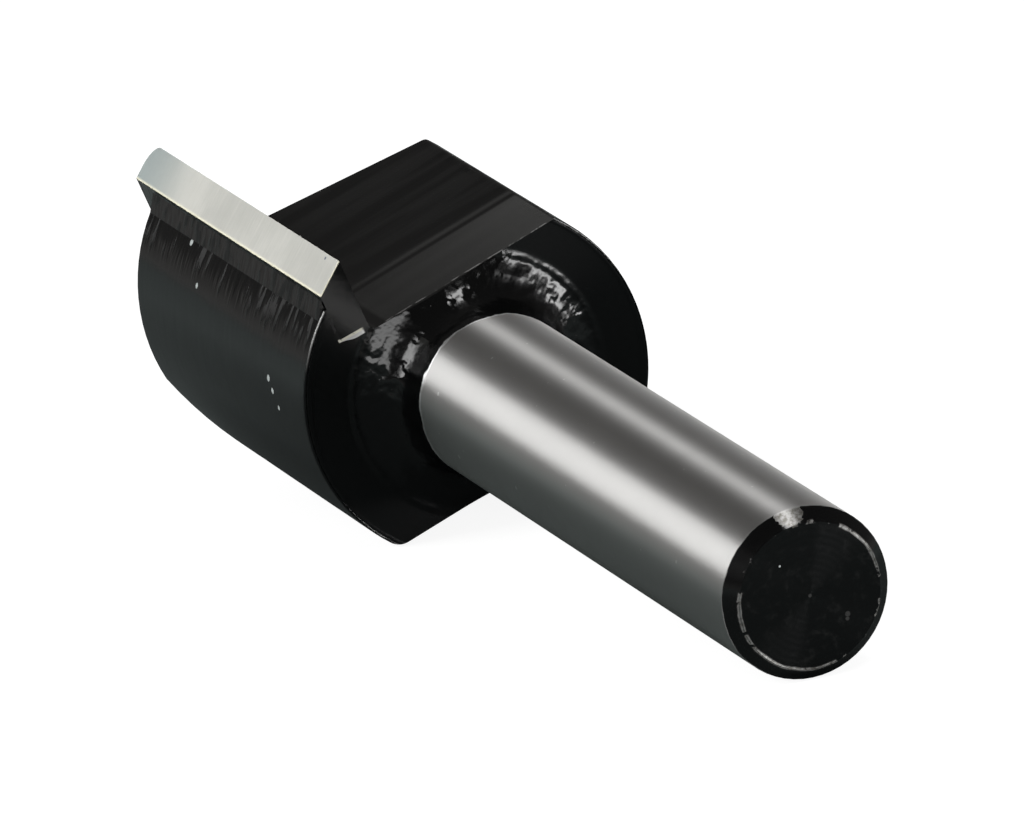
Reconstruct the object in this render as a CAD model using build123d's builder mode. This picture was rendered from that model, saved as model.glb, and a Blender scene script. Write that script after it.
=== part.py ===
from build123d import *

import os
from math import atan2, cos, radians, sin, sqrt, tan

# Two-flute straight router bit: one turned and milled steel body that carries two brazed carbide tips.
# It lies on its side on three points: the shoulder's corners at one cutting edge and at the heel across
# its gullet, and the rim of the shank's end, which lies a little lower than the head.
# X runs under the bit's axis, towards the end of the shank, and Z is up. The origin is on the ground,
# under the middle of the bit's length.

# Shank
shank_diameter = 6.35
shank_length = 31.75
shank_chamfer = 0.48
shank_root_radius = 1.6

# Head of the body, relieved a little from each tooth round to its heel
head_length = 18.05
head_tooth_radius = 6.92
head_heel_radius = 6.76
head_tooth_angle = 105.0
shoulder_edge_radius = 0.15
end_relief_angle = 5.5

# Carbide tips
flutes = 2
cutting_diameter = 15.08
cutting_length = 19.5
tip_thickness = 1.2
tip_width = 2.75
hook_angle = 22.3
margin_relief_angle = 13.7
tip_end_relief_angle = 2.0
tip_corner_radius = 0.8

# Braze: the film behind and under each tip, and the bead along its back
braze_gap = 0.1
braze_bead = 0.34

# Gullets: the floor is lowest a little way from the shoulder, and rises towards both ends
gullet_depth = 3.05
gullet_heel_angle = 15.9
gullet_heel_radii = (0.25, 0.8)
gullet_root_radius = 0.3
gullet_rise = 0.18
gullet_rise_length = 5.0
gullet_far_rise = 0.22

# Gashes that deepen the gullets at the far end
gash_start = 15.3
gash_pitch_angle = 35.0
gash_skew_angle = 13.4

# How far the cutting shapes reach past the steel
reach = 8.0

shank_radius = shank_diameter / 2
cutting_radius = cutting_diameter / 2
seat_depth = tip_width + braze_gap
seat_thickness = tip_thickness + braze_gap
far_slope = gullet_far_rise / (cutting_length - gullet_rise_length)
margin_fall = tip_thickness * tan(radians(hook_angle + margin_relief_angle))

# Directions in the cross-section, where the first cutting edge is at the top and moves towards +X
hook = radians(hook_angle)
cutting_edge = Vector(0, cutting_radius)
rake_inward = Vector(-sin(hook), -cos(hook))
rake_forward = Vector(cos(hook), -sin(hook))
heel = Vector(head_heel_radius, 0).rotate(Axis.Z, gullet_heel_angle)

# The line from a cutting edge to the heel across its gullet lies flat on the ground, and the axis falls
# from there until the end of the shank touches down.
rest_normal = (cutting_edge - heel).rotate(Axis.Z, -90).normalized()
rest_radius = rest_normal.dot(cutting_edge)
rest_pitch = atan2(rest_radius - shank_radius, shank_length - shank_chamfer)
along = Vector(cos(rest_pitch), 0, -sin(rest_pitch))
upward = Vector(sin(rest_pitch), 0, cos(rest_pitch))
sideways = Vector(0, 1, 0)

# Frame of the bit: its origin is the middle of the shoulder, and its Z points along the shank.
low_corner = along * cutting_length + upward * rest_radius
high_corner = along * shank_length + upward * (shank_radius - shank_chamfer)
bit = Plane(
    origin=((low_corner - high_corner).X / 2, 0, rest_radius * cos(rest_pitch)),
    x_dir=sideways * rest_normal.Y + upward * rest_normal.X,
    z_dir=along,
)
bit_axis = Axis(bit.origin, bit.z_dir)
flute_planes = [
    Plane(origin=bit.origin, x_dir=bit.x_dir.rotate(bit_axis, 360 / flutes * i), z_dir=bit.z_dir)
    for i in range(flutes)
]

# Far end of the head: two planes that fall back from the line between the teeth
end_relief = radians(end_relief_angle)
end_planes = [
    Plane(origin=bit.offset(-head_length).origin, z_dir=bit.z_dir * cos(end_relief) + side * sin(end_relief))
    for side in (bit.x_dir, -bit.x_dir)
]


def at_rake(depth, forward=0.0):
    # Point of the cross-section at a depth down the rake face, and forward of it
    return cutting_edge + rake_inward * depth + rake_forward * forward


def head_depth(forward):
    # Depth at which a line parallel to the rake face, forward of it, comes out of the head
    axis_depth = cutting_radius * cos(hook)
    axis_forward = cutting_radius * sin(hook)
    return axis_depth - sqrt(head_tooth_radius**2 - (axis_forward - forward) ** 2)


def rake_plane(flute):
    # Plane of a rake face: its X runs along the bit and its Y down the face
    edge = flute.from_local_coords(cutting_edge)
    ahead = flute.from_local_coords(cutting_edge + rake_forward)
    return Plane(origin=edge, x_dir=flute.z_dir, z_dir=ahead - edge)


def outline(plane, *points):
    # Sketch of a straight-sided section
    with BuildSketch(plane) as section:
        with BuildLine():
            Polyline(*points, close=True)
        make_face()
    return section.sketch


def gullet_section(plane, drop, heel_radius):
    # Gullet with its floor dropped towards the axis: the rake wall, the root, the floor and the heel
    across = (heel - at_rake(gullet_depth)).normalized()
    floor_start = at_rake(gullet_depth + drop)
    before_axis = floor_start.dot(across)
    floor_length = sqrt(before_axis**2 - floor_start.length**2 + head_heel_radius**2) - before_axis
    floor_end = floor_start + across * floor_length
    round_head = floor_end.rotate(Axis.Z, -90).normalized()
    with BuildSketch(plane) as section:
        with BuildLine():
            Polyline(
                at_rake(-reach),
                floor_start,
                floor_end,
                floor_end + round_head * reach,
                floor_end + across * reach + round_head * reach,
                close=True,
            )
        make_face()
        root = section.vertices().sort_by_distance(floor_start)[0]
        fillet(root, gullet_root_radius)
        corner = section.vertices().sort_by_distance(floor_end)[0]
        fillet(corner, heel_radius)
    return section.sketch


with BuildPart() as body:
    # Turned blank: head, shank, the root between them and the broken edges
    with BuildSketch(bit):
        Ellipse(head_tooth_radius, head_heel_radius, rotation=head_tooth_angle)
    extrude(amount=-cutting_length)
    fillet(body.edges().sort_by(bit_axis)[-1], shoulder_edge_radius)
    with BuildSketch(bit):
        Circle(shank_radius)
    extrude(amount=shank_length)
    shank_circles = body.edges().filter_by(GeomType.CIRCLE).sort_by(bit_axis)
    fillet(shank_circles[0], shank_root_radius)
    chamfer(body.edges().sort_by(bit_axis)[-1], shank_chamfer)

    for flute, heel_radius in zip(flute_planes, gullet_heel_radii):
        # Gullet: from its lowest place it rises to the far end, and runs out through the shoulder
        lowest = gullet_section(flute.offset(-gullet_rise_length), gullet_rise, heel_radius)
        far_drop = gullet_rise - (cutting_length - gullet_rise_length) * far_slope
        far = gullet_section(flute.offset(-cutting_length), far_drop, heel_radius)
        run_out_drop = -gullet_rise * shank_root_radius / gullet_rise_length
        run_out = gullet_section(flute.offset(shank_root_radius), run_out_drop, heel_radius)
        loft([far, lowest], ruled=True, mode=Mode.SUBTRACT)
        loft([lowest, run_out], ruled=True, mode=Mode.SUBTRACT)

        # Seat of the tip, open at both ends
        seat = outline(
            flute.offset(reach),
            at_rake(-reach),
            at_rake(seat_depth),
            at_rake(seat_depth, -seat_thickness),
            at_rake(-reach, -seat_thickness),
        )
        extrude(seat, amount=-reach - cutting_length, mode=Mode.SUBTRACT)

        # Gash: a cut that plunges along the rake face and is skewed towards the shank
        rake = rake_plane(flute)
        gash_end = -cutting_length - reach
        gash_depth = gullet_depth + gullet_rise - (gash_start - gullet_rise_length) * far_slope
        gash_plunge = (-gash_end - gash_start) * tan(radians(gash_pitch_angle))
        gash = outline(
            rake,
            (-gash_start, gash_depth),
            (gash_end, gash_depth + gash_plunge),
            (gash_end, -reach),
            (-gash_start, -reach),
        )
        skew = radians(gash_skew_angle)
        gash_way = rake.z_dir * cos(skew) + rake.x_dir * sin(skew)
        extrude(gash, amount=2 * head_tooth_radius, dir=gash_way, mode=Mode.SUBTRACT)

    for plane in end_planes:
        split(bisect_by=plane)

body.part.label = "body"
os.makedirs("parts", exist_ok=True)
export_step(body.part, "parts/body.step")

for number, flute in enumerate(flute_planes, start=1):
    rake = rake_plane(flute)

    with BuildPart() as carbide_tip:
        # Ground tip: a relieved margin, and a far end that falls back round its leading corner
        with BuildSketch(flute):
            with BuildLine():
                Polyline(
                    cutting_edge,
                    at_rake(tip_width),
                    at_rake(tip_width, -tip_thickness),
                    at_rake(margin_fall, -tip_thickness),
                    close=True,
                )
            make_face()
        extrude(amount=-cutting_length)
        relief = radians(tip_end_relief_angle)
        end = rake.from_local_coords(Vector(-cutting_length, 0, 0))
        split(bisect_by=Plane(origin=end, z_dir=rake.x_dir * cos(relief) + rake.z_dir * sin(relief)))
        leading = rake.from_local_coords(Vector(-cutting_length, tip_width / 2, 0))
        fillet(carbide_tip.edges().sort_by_distance(leading)[0], tip_corner_radius)

    carbide_tip.part.label = f"carbide_tip_{number}"
    export_step(carbide_tip.part, f"parts/carbide_tip_{number}.step")

    with BuildPart() as braze_joint:
        # Film behind the tip and under its inner end
        mouth = head_depth(-seat_thickness)
        with BuildSketch(flute):
            with BuildLine():
                Polyline(
                    at_rake(mouth, -tip_thickness),
                    at_rake(tip_width, -tip_thickness),
                    at_rake(tip_width),
                    at_rake(seat_depth),
                    at_rake(seat_depth, -seat_thickness),
                    at_rake(mouth, -seat_thickness),
                    close=True,
                )
            make_face()
        extrude(amount=-cutting_length)
        # Bead in the corner between the tip's back and the head, short of the shoulder's broken edge
        foot = head_depth(-seat_thickness - braze_bead)
        with BuildSketch(flute.offset(-shoulder_edge_radius)):
            with BuildLine():
                Polyline(
                    at_rake(mouth - braze_bead, -tip_thickness),
                    at_rake(mouth + braze_gap, -tip_thickness),
                    at_rake(foot + braze_gap, -seat_thickness - braze_bead),
                    at_rake(foot, -seat_thickness - braze_bead),
                    close=True,
                )
            make_face()
        extrude(amount=-cutting_length)
        for plane in end_planes:
            split(bisect_by=plane)
        add(body.part, mode=Mode.SUBTRACT)
        add(carbide_tip.part, mode=Mode.SUBTRACT)

    braze_joint.part.label = f"braze_joint_{number}"
    export_step(braze_joint.part, f"parts/braze_joint_{number}.step")
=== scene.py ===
import bpy
import math
from mathutils import Matrix, Vector

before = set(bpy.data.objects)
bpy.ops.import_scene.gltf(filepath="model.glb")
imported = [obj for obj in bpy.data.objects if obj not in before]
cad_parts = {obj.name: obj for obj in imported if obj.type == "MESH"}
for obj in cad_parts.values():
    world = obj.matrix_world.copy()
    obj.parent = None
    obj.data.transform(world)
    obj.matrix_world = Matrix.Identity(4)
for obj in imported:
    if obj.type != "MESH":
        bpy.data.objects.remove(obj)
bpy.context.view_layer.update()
scene = bpy.context.scene
bpy.ops.object.select_all(action='DESELECT')
mm = 0.001

# The bit lies with its axis a little down towards the end of the shank
bit = {
    'shoulder': (-5.987, 0.0, 5.657),  # middle of the shoulder, in mm
    'pitch': 4.570,                    # fall of the axis, in degrees
    'lean': 48.817,                    # how far round the upper cutting edge stands
    'shankRadius': 3.175,
    'shankLength': 31.75,              # from the shoulder to the end face
    'chamfer': 0.48,
    'headRadius': 6.76,
    'cuttingRadius': 7.54,
    'cuttingLength': 19.5,
    'hook': 22.3,                      # lean of the cutting faces
    'marginAngle': 36.0,               # slope of the margin across the tip's thickness
    'tipThickness': 1.2,
    'floorLowest': 5.0,                # how far from the shoulder a gullet's floor is lowest
}
pitch, lean = math.radians(bit['pitch']), math.radians(bit['lean'])
along = Vector((math.cos(pitch), 0, -math.sin(pitch)))
upward = Vector((math.sin(pitch), 0, math.cos(pitch)))
sideways = Vector((0, 1, 0))
across = sideways * math.sin(lean) + upward * math.cos(lean)
tooth = upward * math.sin(lean) - sideways * math.cos(lean)
bitTurn = Matrix((across, tooth, along)).transposed().to_euler()
bitPlace = Vector(bit['shoulder']) * mm

# Looking a little down along the shank from its right
view = {
    'from': (524.314, -190.389, 129.754),  # mm
    'azimuth': -19.866,
    'elevation': 12.527,
    'roll': -7.021,
    'lens': 547.57,
}
cameraData = bpy.data.cameras.new('camera')
cameraData.lens = view['lens']
cameraData.sensor_width = 36
cameraData.clip_start = 0.05
cameraData.clip_end = 5
camera = bpy.data.objects.new('camera', cameraData)
scene.collection.objects.link(camera)
camera.matrix_world = (
    Matrix.Translation(Vector(view['from']) * mm)
    @ Matrix.Rotation(math.radians(view['azimuth'] + 90), 4, 'Z')
    @ Matrix.Rotation(math.radians(90 - view['elevation']), 4, 'X')
    @ Matrix.Rotation(math.radians(view['roll']), 4, 'Z')
)
scene.camera = camera
scene.view_settings.view_transform = 'Standard'
print('camera set')


def feed(tree, socket, value):
    if isinstance(value, bpy.types.NodeSocket):
        tree.links.new(value, socket)
    else:
        socket.default_value = value


def calc(tree, operation, first, second=0.0, third=0.0):
    node = tree.nodes.new('ShaderNodeMath')
    node.operation = operation
    feed(tree, node.inputs[0], first)
    feed(tree, node.inputs[1], second)
    feed(tree, node.inputs[2], third)
    return node.outputs[0]


def blend(tree, mask, clear, full):
    # A number that goes from clear to full as the mask goes from 0 to 1
    node = tree.nodes.new('ShaderNodeMix')
    feed(tree, node.inputs['Factor'], mask)
    feed(tree, node.inputs['A'], clear)
    feed(tree, node.inputs['B'], full)
    return node.outputs['Result']


def tint(tree, mask, clear, full):
    # A colour that goes from clear to full as the mask goes from 0 to 1
    node = tree.nodes.new('ShaderNodeMix')
    node.data_type = 'RGBA'
    feed(tree, node.inputs['Factor'], mask)
    feed(tree, node.inputs[6], clear if isinstance(clear, bpy.types.NodeSocket) else (*clear, 1))
    feed(tree, node.inputs[7], full if isinstance(full, bpy.types.NodeSocket) else (*full, 1))
    return node.outputs[2]


def rise(tree, value, low, high, start=0.0, end=1.0):
    # Goes smoothly from start to end as the value goes from low to high
    node = tree.nodes.new('ShaderNodeMapRange')
    node.interpolation_type = 'SMOOTHSTEP'
    feed(tree, node.inputs['Value'], value)
    feed(tree, node.inputs['From Min'], low)
    feed(tree, node.inputs['From Max'], high)
    feed(tree, node.inputs['To Min'], start)
    feed(tree, node.inputs['To Max'], end)
    return node.outputs['Result']


def hump(tree, value, middle, reach):
    # 1 at the middle, falling to 0 at its reach on both sides
    away = calc(tree, 'ABSOLUTE', calc(tree, 'SUBTRACT', value, middle))
    return rise(tree, away, 0.0, reach, 1.0, 0.0)


def both(tree, first, second):
    return calc(tree, 'MULTIPLY', first, second)


def either(tree, first, second):
    return calc(tree, 'MAXIMUM', first, second)


def less(tree, value):
    return calc(tree, 'SUBTRACT', 1.0, value)


def noise(tree, place, stretch, detail=2.0, roughness=0.5, shift=0.0):
    scaled = tree.nodes.new('ShaderNodeVectorMath')
    scaled.operation = 'MULTIPLY_ADD'
    feed(tree, scaled.inputs[0], place)
    scaled.inputs[1].default_value = stretch
    scaled.inputs[2].default_value = (shift, shift, shift)
    node = tree.nodes.new('ShaderNodeTexNoise')
    node.inputs['Scale'].default_value = 1.0
    node.inputs['Detail'].default_value = detail
    node.inputs['Roughness'].default_value = roughness
    tree.links.new(scaled.outputs[0], node.inputs['Vector'])
    return node.outputs['Fac']


def newGroup(name, inputs, outputs):
    # A node group with named inputs and outputs, each given as (name, kind, value)
    group = bpy.data.node_groups.new(name, 'ShaderNodeTree')
    for socketName, kind, value in inputs:
        socket = group.interface.new_socket(socketName, in_out='INPUT', socket_type=kind)
        if value is not None:
            socket.default_value = value
    for socketName, kind in outputs:
        group.interface.new_socket(socketName, in_out='OUTPUT', socket_type=kind)
    return group, group.nodes.new('NodeGroupInput').outputs, group.nodes.new('NodeGroupOutput').inputs


def useGroup(tree, group, **values):
    node = tree.nodes.new('ShaderNodeGroup')
    node.node_tree = group
    for name, value in values.items():
        feed(tree, node.inputs[name], value)
    return node.outputs


def makeBitFrame():
    # The bit's own coordinates in mm: z from the shoulder along the shank, and round its axis
    number, vector = 'NodeSocketFloat', 'NodeSocketVector'
    outputs = [('place', vector), ('z', number), ('radius', number), ('turn', vector),
               ('depth', number), ('forward', number)]
    group, _, out = newGroup('bitFrame', [], outputs)
    coordinates = group.nodes.new('ShaderNodeTexCoord')
    mapping = group.nodes.new('ShaderNodeMapping')
    mapping.vector_type = 'TEXTURE'
    mapping.inputs['Location'].default_value = bitPlace
    mapping.inputs['Rotation'].default_value = bitTurn
    mapping.inputs['Scale'].default_value = (mm, mm, mm)
    group.links.new(coordinates.outputs['Object'], mapping.inputs['Vector'])
    split = group.nodes.new('ShaderNodeSeparateXYZ')
    group.links.new(mapping.outputs[0], split.inputs[0])
    x, y, z = split.outputs
    radius = calc(group, 'SQRT', calc(group, 'ADD', both(group, x, x), both(group, y, y)))
    turn = group.nodes.new('ShaderNodeCombineXYZ')
    feed(group, turn.inputs[0], calc(group, 'DIVIDE', x, radius))
    feed(group, turn.inputs[1], calc(group, 'DIVIDE', y, radius))
    feed(group, turn.inputs[2], z)
    # Both flutes in one frame: depth down the rake face from the cutting edge, and forward of it
    side = calc(group, 'SIGN', y)
    hook = math.radians(bit['hook'])
    flankX = both(group, x, side)
    flankY = calc(group, 'SUBTRACT', both(group, y, side), bit['cuttingRadius'])
    depth = calc(group, 'ADD', both(group, flankX, -math.sin(hook)), both(group, flankY, -math.cos(hook)))
    forward = calc(group, 'ADD', both(group, flankX, math.cos(hook)), both(group, flankY, -math.sin(hook)))
    for name, value in (('place', mapping.outputs[0]), ('z', z), ('radius', radius),
                        ('turn', turn.outputs[0]), ('depth', depth), ('forward', forward)):
        feed(group, out[name], value)
    return group


def makeDust():
    # Small pale specks at random places
    group, given, out = newGroup(
        'dust',
        [('place', 'NodeSocketVector', None), ('spacing', 'NodeSocketFloat', 1.0),
         ('size', 'NodeSocketFloat', 0.05), ('share', 'NodeSocketFloat', 0.1)],
        [('mask', 'NodeSocketFloat')],
    )
    cells = group.nodes.new('ShaderNodeTexVoronoi')
    feed(group, cells.inputs['Vector'], given['place'])
    feed(group, cells.inputs['Scale'], calc(group, 'DIVIDE', 1.0, given['spacing']))
    apart = both(group, cells.outputs['Distance'], given['spacing'])
    spot = rise(group, apart, both(group, given['size'], 0.5), given['size'], 1.0, 0.0)
    luck = group.nodes.new('ShaderNodeSeparateColor')
    feed(group, luck.inputs[0], cells.outputs['Color'])
    chosen = calc(group, 'LESS_THAN', luck.outputs[0], given['share'])
    feed(group, out['mask'], both(group, spot, chosen))
    return group


bitFrame = makeBitFrame()
dust = makeDust()


def spotAt(tree, place, centre, reach):
    # 1 inside a small spot round a point of the bit, in mm
    apart = tree.nodes.new('ShaderNodeVectorMath')
    apart.operation = 'DISTANCE'
    feed(tree, apart.inputs[0], place)
    apart.inputs[1].default_value = centre
    return rise(tree, apart.outputs['Value'], reach * 0.6, reach, 1.0, 0.0)


def arcAt(tree, turn, centre, half):
    # 1 inside an arc round the bit's axis, given by its middle and half its length in degrees
    facing = tree.nodes.new('ShaderNodeVectorMath')
    facing.operation = 'DOT_PRODUCT'
    feed(tree, facing.inputs[0], turn)
    facing.inputs[1].default_value = (math.cos(math.radians(centre)), math.sin(math.radians(centre)), 0)
    fadeStart, fadeEnd = (math.cos(math.radians(angle)) for angle in (half + 5, half))
    return rise(tree, facing.outputs['Value'], fadeStart, fadeEnd)


def newMaterial(name):
    material = bpy.data.materials.new(name)
    material.use_nodes = True
    return material.node_tree, material.node_tree.nodes['Principled BSDF'], material


def bump(tree, shader, height):
    # Height is in mm
    node = tree.nodes.new('ShaderNodeBump')
    node.inputs['Strength'].default_value = 1.0
    node.inputs['Distance'].default_value = mm
    feed(tree, node.inputs['Height'], height)
    tree.links.new(node.outputs['Normal'], shader.inputs['Normal'])


def grindRound(tree, shader):
    # Fine lines round the bit's axis spread a reflection along it
    coordinates = tree.nodes.new('ShaderNodeTexCoord')
    arm = tree.nodes.new('ShaderNodeVectorMath')
    arm.operation = 'SUBTRACT'
    tree.links.new(coordinates.outputs['Object'], arm.inputs[0])
    arm.inputs[1].default_value = bitPlace
    roundAxis = tree.nodes.new('ShaderNodeVectorMath')
    roundAxis.operation = 'CROSS_PRODUCT'
    roundAxis.inputs[0].default_value = along
    tree.links.new(arm.outputs[0], roundAxis.inputs[1])
    tree.links.new(roundAxis.outputs[0], shader.inputs['Tangent'])
    shader.inputs['Anisotropic'].default_value = steel['spread']
    shader.inputs['Anisotropic Rotation'].default_value = 0.25


def dress(node, material):
    bpy.data.objects[node].material_slots[0].material = material


# Lengths are in mm, and places are in mm from the middle of the shoulder
paint = {
    'black': (0.0009, 0.0010, 0.0011),
    'roughness': 0.14,
    'rootEdge': (1.83, 1.89),    # where the paint ends on the shank, before it is made ragged
    'rootRagged': 0.7,
    'endEdge': (0.03, 0.07),     # where it starts again, from the start of the chamfer
    'endRagged': 0.1,
    'dustSpots': (
        ((-2.26, 6.54, -13.28), 0.16),
        ((-3.46, 5.98, -11.65), 0.13),
        ((-4.76, 4.97, -3.73), 0.16),
        ((-5.03, 4.67, -3.36), 0.14),
        ((-5.38, 4.24, -2.90), 0.11),
    ),
    'dustSpacing': 1.3,
    'dustSize': 0.05,
    'dustShare': 0.1,
    'dustColour': (0.42, 0.46, 0.45),
    'dustRoughness': 0.7,
}
dragged = {
    'streaks': (3.5, 3.5, 3.2),  # how fine they are round the head and along it
    'clusters': (1.0, 1.0, 0.3),
    'end': -2.5,                 # how far the dragged paint reaches behind a cutting edge
    'endRagged': 1.2,
    'endFade': 0.5,
    'dullFrom': (0.93, 1.07),
    'roughness': 0.42,
    'relief': (0.004, 0.022),    # on the smooth paint and on the dragged paint
}
wornPaint = {                    # how fine each of its patterns is, in each direction
    'ragged': (3.0, 3.0, 1.5),
    'flecks': (2.6, 2.6, 2.6),
    'grit': (7.0, 7.0, 7.0),
    'sides': (0.9, 0.9, 0.0),
    'wander': (1.2, 1.2, 1.2),
}
endFace = {
    'rimShift': 0.08,
    'rimReach': 0.09,
    'rimWander': 0.16,
    'wornArcs': ((-5, 22), (140, 13), (204, 41)),  # middle and half length, in degrees
    'chip': ((1.65, 2.5, 31.32), 0.66),
    'chipColour': (0.22, 0.21, 0.19),
    'marks': (((0, 0, 31.75), 0.08), ((0.40, -1.61, 31.75), 0.12), ((0.27, -1.72, 31.75), 0.09)),
    'markGrey': 0.03,
    'clouds': (2.2, 2.2, 2.2),
    'cloudGrey': 0.012,
    'ringPitch': 26.0,
    'ringHeight': 0.0012,
}
shoulder = {
    'edgeMiddle': -0.07,         # the partly metal line along the edge behind a tip
    'edgeReach': 0.05,
    'edgeShare': 0.6,
    'edgeRounding': 0.06,
    'seatWidths': (2.86, 2.99),  # bare steel at the inner end of a tip's seat
    'floorEdgeShare': 0.4,
}
cove = {
    'lumps': (1.5, 1.5, 1.5),
    'lumpHeight': 0.09,
    'rim': (4.2, 4.9),           # radii between which the thick paint thins out
    'rimDrop': -0.14,
    'outerEdge': (5.2, 4.9),
}
steel = {
    'colour': (0.60, 0.595, 0.585),
    'clouds': (0.5, 0.5, 0.25),
    'cloudShade': 0.9,
    'roughness': 0.44,
    'spread': 0.97,              # how much more a reflection spreads along the bit than round it
    'grindPitch': 14.0,          # lines in a mm
    'grindHeight': 0.0005,
    'rootHighlight': (0.9, 0.9, 0.9),  # painted highlight: a bright line on the steel beside the paint
    'marks': (
        ((-1.52, 2.79, 3.80), 0.09),
        ((-2.87, 1.36, 5.60), 0.11),
        ((0.63, 3.11, 6.05), 0.07),
        ((-2.71, 1.65, 11.49), 0.08),
        ((-1.91, 2.53, 27.01), 0.08),
    ),
    'markSpacing': 0.45,
    'markSize': 0.05,
    'markShare': 0.18,
    'markColour': (0.85, 0.85, 0.83),
    'markRoughness': 0.6,
}
gullet = {
    'grey': (1.0, 1.0, 0.97),
    'streakWidth': 1.1,
    # how much paler the milling streaks are painted, as a sheen
    'streakSheen': 0.006,
    'paintedHighlightLine': (0.15, 0.35),  # painted highlight line: middle and reach, from where the floor is lowest
    'highlightShare': 3.2,
    # painted shade line beside it: middle and reach
    'paintedShadeLine': (0.55, 0.25),
    'nearSheen': 0.022,           # painted sheen: the slope towards the shoulder is painted a little paler
    'milledHeight': 0.01,
}


def makeDraggedPaint():
    # Paint dragged round the head behind each tip: its gloss and its relief in mm
    group, given, out = newGroup(
        'draggedPaint',
        [('turn', 'NodeSocketVector', None), ('forward', 'NodeSocketFloat', 0.0)],
        [('roughness', 'NodeSocketFloat'), ('relief', 'NodeSocketFloat')],
    )
    streaks = noise(group, given['turn'], dragged['streaks'], 1.6, 0.5)
    clusters = noise(group, given['turn'], dragged['clusters'], 1.0, 0.5, 4.0)
    ragged = both(group, calc(group, 'SUBTRACT', streaks, 0.5), dragged['endRagged'])
    reach = calc(group, 'ADD', given['forward'], ragged)
    isDragged = rise(group, reach, dragged['end'], dragged['end'] + dragged['endFade'])
    rough = rise(group, calc(group, 'ADD', streaks, both(group, clusters, 0.7)), *dragged['dullFrom'])
    dull = blend(group, both(group, isDragged, rough), paint['roughness'], dragged['roughness'])
    feed(group, out['roughness'], dull)
    feed(group, out['relief'], both(group, streaks, blend(group, isDragged, *dragged['relief'])))
    return group


draggedPaint = makeDraggedPaint()


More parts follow.
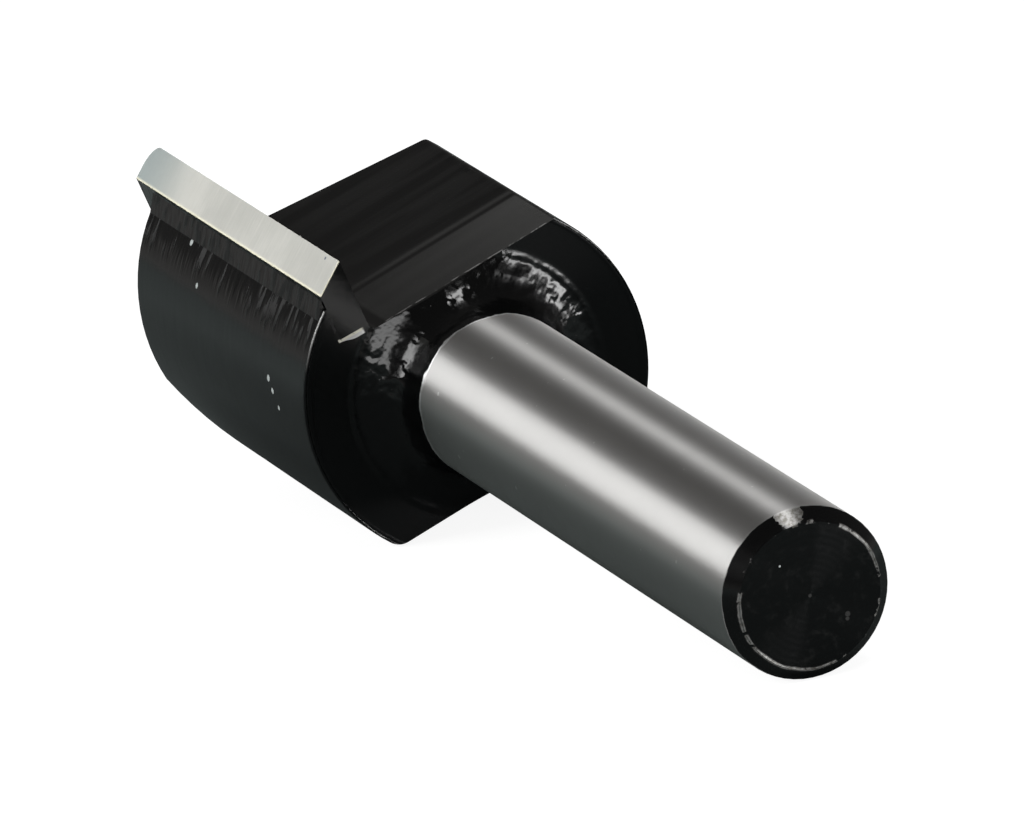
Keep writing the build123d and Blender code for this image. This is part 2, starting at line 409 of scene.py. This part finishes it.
def makeBody():
    tree, shader, material = newMaterial('paintedSteel')
    at = useGroup(tree, bitFrame)
    place, z, radius, turn = at['place'], at['z'], at['radius'], at['turn']
    depth, forward = at['depth'], at['forward']

    # Where the shank is bare: from a ragged edge near its root to the chamfer
    ragged = noise(tree, turn, wornPaint['ragged'], 3.0)
    fromEdge = calc(tree, 'SUBTRACT', z, both(tree, ragged, paint['rootRagged']))
    chamferStart = bit['shankLength'] - bit['chamfer']
    toEnd = calc(tree, 'ADD', z, both(tree, ragged, paint['endRagged']))
    endStart, endFull = (chamferStart + part for part in paint['endEdge'])
    beyondRoot = rise(tree, fromEdge, *paint['rootEdge'])
    bare = both(tree, beyondRoot, rise(tree, toEnd, endStart, endFull, 1.0, 0.0))

    # Worn rim of the end face, and a chip on its chamfer
    flecks = noise(tree, place, wornPaint['flecks'], 3.0, 0.6, 2.0)
    grit = noise(tree, place, wornPaint['grit'], 3.0, 0.6)
    onEnd = rise(tree, z, bit['shankLength'] - 0.12, bit['shankLength'] - 0.08)
    wornArcs = 0.0
    for centre, half in endFace['wornArcs']:
        wornArcs = either(tree, wornArcs, arcAt(tree, turn, centre, half))
    rimWear = rise(tree, calc(tree, 'ADD', flecks, both(tree, wornArcs, 0.25)), 0.58, 0.68)
    wander = both(tree, noise(tree, place, wornPaint['wander'], 2.0), endFace['rimWander'])
    faceRim = bit['shankRadius'] - bit['chamfer'] + endFace['rimShift']
    rim = hump(tree, calc(tree, 'ADD', radius, wander), faceRim, endFace['rimReach'])
    rubbed = both(tree, both(tree, rim, onEnd), rimWear)
    chipPlace = spotAt(tree, place, *endFace['chip'])
    chipped = rise(tree, calc(tree, 'ADD', chipPlace, both(tree, grit, 1.6)), 1.25, 1.35)

    # Worn edge of the gullets at the shoulder
    inside = rise(tree, radius, bit['headRadius'] - 0.1, bit['headRadius'] - 0.02, 1.0, 0.0)
    inGullet = both(tree, rise(tree, forward, 0.6, 0.8), inside)
    inGullet = both(tree, inGullet, rise(tree, z, -0.02, -0.01, 1.0, 0.0))
    wornSides = noise(tree, turn, wornPaint['sides'], 0.0, 0.5, 5.3)
    wear = rise(tree, calc(tree, 'ADD', flecks, both(tree, wornSides, 0.6)), 0.72, 0.84)
    floorEdge = both(tree, rise(tree, z, -0.14, -0.1), both(tree, inGullet, wear))

    # A partly metal, paler line along the shoulder's edge behind a tip, and bare steel at the inner end of
    # the tip's seat
    atRim = rise(tree, radius, 6.5, 6.6)
    nearTip = both(tree, rise(tree, forward, -3.0, -2.0), rise(tree, forward, -1.2, -1.3))
    edgeLine = hump(tree, z, shoulder['edgeMiddle'], shoulder['edgeReach'])
    shoulderEdge = both(tree, edgeLine, both(tree, nearTip, atRim))
    seatWidth = rise(tree, forward, -1.2, -0.6, *shoulder['seatWidths'])
    seatEnd = both(tree, calc(tree, 'LESS_THAN', depth, seatWidth), rise(tree, forward, -0.2, -0.3))
    seatEnd = both(tree, seatEnd, rise(tree, forward, -1.22, -1.12))
    seatEnd = both(tree, seatEnd, rise(tree, z, -0.03, -0.01))
    worn = either(tree, either(tree, rubbed, chipped), both(tree, floorEdge, shoulder['floorEdgeShare']))
    worn = either(tree, worn, either(tree, both(tree, shoulderEdge, shoulder['edgeShare']), seatEnd))
    metal = either(tree, bare, worn)

    # Dust and small pits
    specks = useGroup(tree, dust, place=place, spacing=paint['dustSpacing'], size=paint['dustSize'],
                      share=paint['dustShare'])['mask']
    for centre, reach in paint['dustSpots']:
        specks = either(tree, specks, spotAt(tree, place, centre, reach))
    specks = both(tree, specks, less(tree, metal))
    marks = useGroup(tree, dust, place=place, spacing=steel['markSpacing'], size=steel['markSize'],
                     share=steel['markShare'])['mask']
    for centre, reach in steel['marks']:
        marks = either(tree, marks, spotAt(tree, place, centre, reach))
    marks = both(tree, marks, bare)

    # Milling streaks on the gullets' floors painted paler as a sheen, with a painted highlight line beside
    # a painted shade line where the floor starts to rise, and a paler painted sheen on the slope towards
    # the shoulder
    milled = noise(tree, place, (0.1, 0.1, 1.0 / gullet['streakWidth']), 3.0, 0.6, 8.0)
    fromLowest = calc(tree, 'ADD', z, bit['floorLowest'])
    paintedHighlightLine = both(tree, hump(tree, fromLowest, *gullet['paintedHighlightLine']), gullet['highlightShare'])
    paintedShadeLine = hump(tree, fromLowest, *gullet['paintedShadeLine'])
    nearSlope = rise(tree, fromLowest, 0.4, 0.9)
    pale = both(tree, nearSlope, rise(tree, radius, 3.0, bit['headRadius'], 0.6, 1.6))
    streaked = calc(tree, 'ADD', rise(tree, milled, 0.35, 0.7), paintedHighlightLine)
    streakSheen = both(tree, streaked, gullet['streakSheen'])
    grey = calc(tree, 'ADD', streakSheen, both(tree, pale, gullet['nearSheen']))
    grey = both(tree, both(tree, grey, less(tree, paintedShadeLine)), inGullet)

    # Colours
    cloud = noise(tree, place, steel['clouds'], 2.0, 0.6, 4.0)
    shaded = [steel['cloudShade'] * part for part in steel['colour']]
    steelColour = tint(tree, cloud, shaded, steel['colour'])
    steelColour = tint(tree, both(tree, marks, 0.8), steelColour, steel['markColour'])
    onChamfer = rise(tree, z, chamferStart, chamferStart + 0.05)
    gritty = both(tree, onChamfer, rise(tree, grit, 0.35, 0.7, 0.2, 1.0))
    steelColour = tint(tree, gritty, steelColour, endFace['chipColour'])
    # A painted highlight: the steel is painted paler in a thin line beside the paint's edge
    rootHighlight = hump(tree, fromEdge, paint['rootEdge'][0] + 0.11, 0.1)
    steelColour = tint(tree, rootHighlight, steelColour, steel['rootHighlight'])
    endCloud = noise(tree, place, endFace['clouds'], 4.0, 0.7, 3.0)
    endGrey = both(tree, onEnd, rise(tree, endCloud, 0.52, 0.85, 0.0, endFace['cloudGrey']))
    for centre, reach in endFace['marks']:
        endGrey = either(tree, endGrey, both(tree, spotAt(tree, place, centre, reach), endFace['markGrey']))
    paintColour = tint(tree, calc(tree, 'ADD', grey, endGrey), paint['black'], gullet['grey'])
    colour = tint(tree, specks, tint(tree, metal, paintColour, steelColour), paint['dustColour'])
    feed(tree, shader.inputs['Base Color'], colour)
    feed(tree, shader.inputs['Metallic'], metal)

    # Gloss
    lines = noise(tree, turn, (0.8, 0.8, steel['grindPitch']), 1.0, 0.6)
    steelRoughness = calc(tree, 'ADD', steel['roughness'] - 0.04, both(tree, lines, 0.08))
    steelRoughness = blend(tree, marks, steelRoughness, steel['markRoughness'])
    drag = useGroup(tree, draggedPaint, turn=turn, forward=forward)
    onHead = both(tree, rise(tree, z, -0.15, -0.3), rise(tree, radius, 6.4, 6.6))
    paintRoughness = blend(tree, onHead, paint['roughness'], drag['roughness'])
    paintRoughness = blend(tree, specks, paintRoughness, paint['dustRoughness'])
    feed(tree, shader.inputs['Roughness'], blend(tree, metal, paintRoughness, steelRoughness))

    # Relief: grinding lines, paint lying thick in the cove and dragged on the head, rings on the end
    pastShoulder = rise(tree, z, -0.02, -0.01)
    inCove = both(tree, pastShoulder, rise(tree, z, 2.4, 1.8))
    inCove = both(tree, inCove, rise(tree, radius, *cove['outerEdge']))
    lumps = both(tree, noise(tree, place, cove['lumps'], 2.0, 0.4, 9.0), cove['lumpHeight'])
    coveRim = both(tree, rise(tree, radius, *cove['rim'], 0.0, cove['rimDrop']), pastShoulder)
    coveRelief = calc(tree, 'ADD', both(tree, inCove, lumps), coveRim)
    edgeRelief = both(tree, both(tree, hump(tree, z, -0.075, 0.1), atRim), shoulder['edgeRounding'])
    headRelief = both(tree, onHead, drag['relief'])
    milledRelief = both(tree, both(tree, inGullet, milled), gullet['milledHeight'])
    rings = calc(tree, 'SINE', both(tree, radius, endFace['ringPitch']))
    endRelief = both(tree, both(tree, rings, onEnd), endFace['ringHeight'])
    height = both(tree, both(tree, lines, steel['grindHeight']), rise(tree, z, 2.2, 2.4))
    for part in (coveRelief, edgeRelief, headRelief, milledRelief, endRelief):
        height = calc(tree, 'ADD', height, part)
    bump(tree, shader, height)
    grindRound(tree, shader)
    return material


carbide = {
    'colour': (0.455, 0.455, 0.425),
    'shades': (0.92, 1.1),       # how much darker and paler it gets in patches
    'patches': (0.35, 0.35, 0.35),
    'grain': (5.0, 5.0, 5.0),
    'ground': (0.6, 0.6, 16.0),  # lines across the tip
    'groundHeight': 0.0008,
    'coldEnd': (0.30, 0.335, 0.33),
    'coldReach': 5.5,
    'edge': (0.82, 0.79, 0.62),
    'edgeShare': 0.8,
    'lowerEdgeReach': 0.1,
    'nearEdgeReach': 0.09,
    'nick': ((-0.18, 7.50, -1.17), 0.08),
    'nickColour': (0.10, 0.12, 0.16),
    'roughness': 0.46,
    'mottle': (1.6, 1.6, 1.6),
    'mottleHeight': 0.006,
    'back': (1.0, 1.0, 2.8),
    'backHeight': 0.05,
    'beadHeight': 0.06,
}


def fromMargin(tree, depth, forward):
    # How far a place lies under the plane of the margin, in mm
    slope = math.tan(math.radians(bit['marginAngle']))
    return calc(tree, 'ADD', depth, both(tree, forward, slope))


def makeTip():
    tree, shader, material = newMaterial('groundCarbide')
    at = useGroup(tree, bitFrame)
    place, z, depth, forward = at['place'], at['z'], at['depth'], at['forward']

    # Paint is left on the back of the tip and on its end at the shoulder
    offMargin = fromMargin(tree, depth, forward)
    onMargin = rise(tree, offMargin, 0.05, 0.02)
    behind = rise(tree, forward, 0.03 - bit['tipThickness'], 0.01 - bit['tipThickness'])
    onBack = both(tree, behind, less(tree, onMargin))
    onNearEnd = both(tree, rise(tree, z, -0.012, -0.004), less(tree, onMargin))
    painted = either(tree, onBack, onNearEnd)

    # Finely ground across, colder at the far end, with a pale line along the margin's lower edge
    grain = noise(tree, place, carbide['grain'], 3.0, 0.6)
    ground = noise(tree, place, carbide['ground'], 2.0, 0.6, 2.0)
    patches = noise(tree, place, carbide['patches'], 2.0, 0.5, 3.0)
    shade = calc(tree, 'ADD', both(tree, ground, 0.3), both(tree, patches, 0.7))
    darker, paler = ([share * part for part in carbide['colour']] for share in carbide['shades'])
    colour = tint(tree, rise(tree, shade, 0.35, 0.65), darker, paler)
    farEnd = rise(tree, z, carbide['coldReach'] - bit['cuttingLength'], -bit['cuttingLength'])
    colour = tint(tree, farEnd, colour, carbide['coldEnd'])
    lowerEdge = hump(tree, forward, -bit['tipThickness'], carbide['lowerEdgeReach'])
    nearEdge = hump(tree, z, 0.0, carbide['nearEdgeReach'])
    edges = both(tree, either(tree, lowerEdge, nearEdge), onMargin)
    colour = tint(tree, both(tree, edges, carbide['edgeShare']), colour, carbide['edge'])
    colour = tint(tree, spotAt(tree, place, *carbide['nick']), colour, carbide['nickColour'])
    colour = tint(tree, painted, colour, paint['black'])
    feed(tree, shader.inputs['Base Color'], colour)
    feed(tree, shader.inputs['Metallic'], less(tree, painted))

    # Gloss
    bareRoughness = calc(tree, 'ADD', carbide['roughness'] - 0.06, both(tree, grain, 0.12))
    drag = useGroup(tree, draggedPaint, turn=at['turn'], forward=forward)
    paintRoughness = blend(tree, onNearEnd, drag['roughness'], paint['roughness'])
    feed(tree, shader.inputs['Roughness'], blend(tree, painted, bareRoughness, paintRoughness))

    # Relief: the ground face, and the paint with a bead along the margin's edge
    relief = both(tree, calc(tree, 'ADD', ground, grain), carbide['groundHeight'])
    mottle = both(tree, noise(tree, place, carbide['mottle'], 2.0, 0.5, 6.0), carbide['mottleHeight'])
    bead = both(tree, rise(tree, offMargin, 0.02, 0.14, 1.0, 0.0), carbide['beadHeight'])
    backRelief = both(tree, noise(tree, place, carbide['back'], 1.5, 0.5, 1.0), carbide['backHeight'])
    paintRelief = blend(tree, onNearEnd, calc(tree, 'ADD', backRelief, bead), mottle)
    bump(tree, shader, blend(tree, painted, relief, paintRelief))
    grindRound(tree, shader)
    return material


braze = {
    'bare': (0.78, 0.76, 0.66),
    'bareFrom': (2.7, 2.76),     # how far down the seat its bare inner end starts
    'bareRoughness': 0.4,
    'flecks': (4.0, 4.0, 4.0),
    'streaks': (0.9, 0.9, 2.6),
    'clusters': (1.0, 1.0, 0.35),
    'dullFrom': (0.94, 1.08),
    'streakHeight': 0.03,
    'beadHeight': 0.07,
}


def makeBraze():
    tree, shader, material = newMaterial('paintedBraze')
    at = useGroup(tree, bitFrame)
    place, depth, forward = at['place'], at['depth'], at['forward']

    # Bare and pale at the seat's inner end, painted elsewhere
    flecks = noise(tree, place, braze['flecks'], 3.0, 0.6)
    innerEnd = both(tree, rise(tree, depth, *braze['bareFrom']), rise(tree, forward, -0.2, -0.35))
    innerEnd = both(tree, innerEnd, rise(tree, flecks, 0.36, 0.42))
    feed(tree, shader.inputs['Base Color'], tint(tree, innerEnd, paint['black'], braze['bare']))
    feed(tree, shader.inputs['Metallic'], innerEnd)

    # Streaks in the paint, and a bead of it along the margin's edge
    streaks = noise(tree, place, braze['streaks'], 1.6, 0.5, 1.0)
    clusters = noise(tree, at['turn'], braze['clusters'], 1.0, 0.5, 4.0)
    rough = rise(tree, calc(tree, 'ADD', streaks, both(tree, clusters, 0.8)), *braze['dullFrom'])
    paintRoughness = blend(tree, rough, paint['roughness'], dragged['roughness'])
    feed(tree, shader.inputs['Roughness'], blend(tree, innerEnd, paintRoughness, braze['bareRoughness']))
    offMargin = fromMargin(tree, depth, forward)
    bead = both(tree, rise(tree, offMargin, 0.02, 0.16, 1.0, 0.0), braze['beadHeight'])
    bump(tree, shader, calc(tree, 'ADD', bead, both(tree, streaks, braze['streakHeight'])))
    return material


dress('body', makeBody())
tipMaterial, brazeMaterial = makeTip(), makeBraze()
for number in (1, 2):
    dress(f'carbide_tip_{number}', tipMaterial)
    dress(f'braze_joint_{number}', brazeMaterial)
print('materials made')


# Large soft lamps: azimuth, elevation, width and height in degrees as the bit sees them, and brightness
lamps = {
    'front left': (-96, 30, 20, 30, 8.0),
    'front right': (15, 63, 11, 20, 11.0),
    'low right': (45, 4, 36, 8, 13.0),
    'by the camera': (-25, 9, 34, 15, 4.0),
}
lampDistance = 1.2               # m
middle = Vector((0, 0, bit['shoulder'][2])) * mm
for name, (azimuth, elevation, *angles, brightness) in lamps.items():
    width, height = (2 * lampDistance * math.tan(math.radians(angle / 2)) for angle in angles)
    lampData = bpy.data.lights.new(name, 'AREA')
    lampData.shape = 'RECTANGLE'
    lampData.size = width
    lampData.size_y = height
    lampData.energy = brightness * math.pi * width * height
    lamp = bpy.data.objects.new(name, lampData)
    scene.collection.objects.link(lamp)
    lamp.matrix_world = (
        Matrix.Translation(middle)
        @ Matrix.Rotation(math.radians(azimuth + 90), 4, 'Z')
        @ Matrix.Rotation(math.radians(90 - elevation), 4, 'X')
        @ Matrix.Translation((0, 0, lampDistance))
    )
print('lamps placed')

# White to the camera and through glass; what polished metal mirrors is a dimmer room
room = {
    'softShare': 0.4,                 # how brightly it lights matt surfaces
    'glossShares': (0.24, 0.07),      # seen in polish, at the horizon and from there up
    'glossTint': (1.0, 0.97, 0.94),
    'floorShares': (0.11, 0.25),      # seen in polish, near the bit and far away; darker near the bit as a painted shadow
    'floorReach': (0.012, 0.08),      # m, from near to far
    'floorTint': (0.88, 1.0, 0.98),
    'floorGlow': 0.9,
    'shadowShare': 0.25,
}


def pathShares(tree):
    path = tree.nodes.new('ShaderNodeLightPath')
    seen = either(tree, path.outputs['Is Camera Ray'], path.outputs['Is Transmission Ray'])
    return seen, path.outputs['Is Glossy Ray']


world = bpy.data.worlds.new('studio')
scene.world = world
world.use_nodes = True
worldTree = world.node_tree
background = worldTree.nodes['Background']
seen, mirrored = pathShares(worldTree)
skyPlace = worldTree.nodes.new('ShaderNodeTexCoord')
skySplit = worldTree.nodes.new('ShaderNodeSeparateXYZ')
worldTree.links.new(skyPlace.outputs['Generated'], skySplit.inputs[0])
gloss = rise(worldTree, skySplit.outputs['Z'], 0.0, 0.16, *room['glossShares'])
feed(worldTree, background.inputs['Color'], tint(worldTree, mirrored, (1, 1, 1), room['glossTint']))
unseen = blend(worldTree, mirrored, room['softShare'], gloss)
feed(worldTree, background.inputs['Strength'], blend(worldTree, seen, unseen, 1.0))

bpy.ops.mesh.primitive_plane_add(size=3, location=(0, 0, 0))
floor = bpy.context.object
floor.name = 'floor'
floorMaterial = bpy.data.materials.new('paleFloor')
floorMaterial.use_nodes = True
floorTree = floorMaterial.node_tree
floorTree.nodes.remove(floorTree.nodes['Principled BSDF'])
seen, mirrored = pathShares(floorTree)
floorPlace = floorTree.nodes.new('ShaderNodeTexCoord')
floorAway = floorTree.nodes.new('ShaderNodeVectorMath')
floorAway.operation = 'LENGTH'
floorTree.links.new(floorPlace.outputs['Object'], floorAway.inputs[0])
# What polish mirrors of the floor is painted darker near the bit: a painted shadow of the bit
away = rise(floorTree, floorAway.outputs['Value'], *room['floorReach'])
near, far = ([share * part for part in room['floorTint']] for share in room['floorShares'])
matte = floorTree.nodes.new('ShaderNodeBsdfDiffuse')
plain = tint(floorTree, seen, (0.8, 0.8, 0.8), [room['shadowShare']] * 3)
feed(floorTree, matte.inputs['Color'], tint(floorTree, mirrored, plain, tint(floorTree, away, near, far)))
glow = floorTree.nodes.new('ShaderNodeEmission')
feed(floorTree, glow.inputs['Strength'], both(floorTree, seen, room['floorGlow']))
together = floorTree.nodes.new('ShaderNodeAddShader')
floorTree.links.new(matte.outputs[0], together.inputs[0])
floorTree.links.new(glow.outputs[0], together.inputs[1])
floorTree.links.new(together.outputs[0], floorTree.nodes['Material Output'].inputs['Surface'])
floor.data.materials.append(floorMaterial)
print('floor and room made')
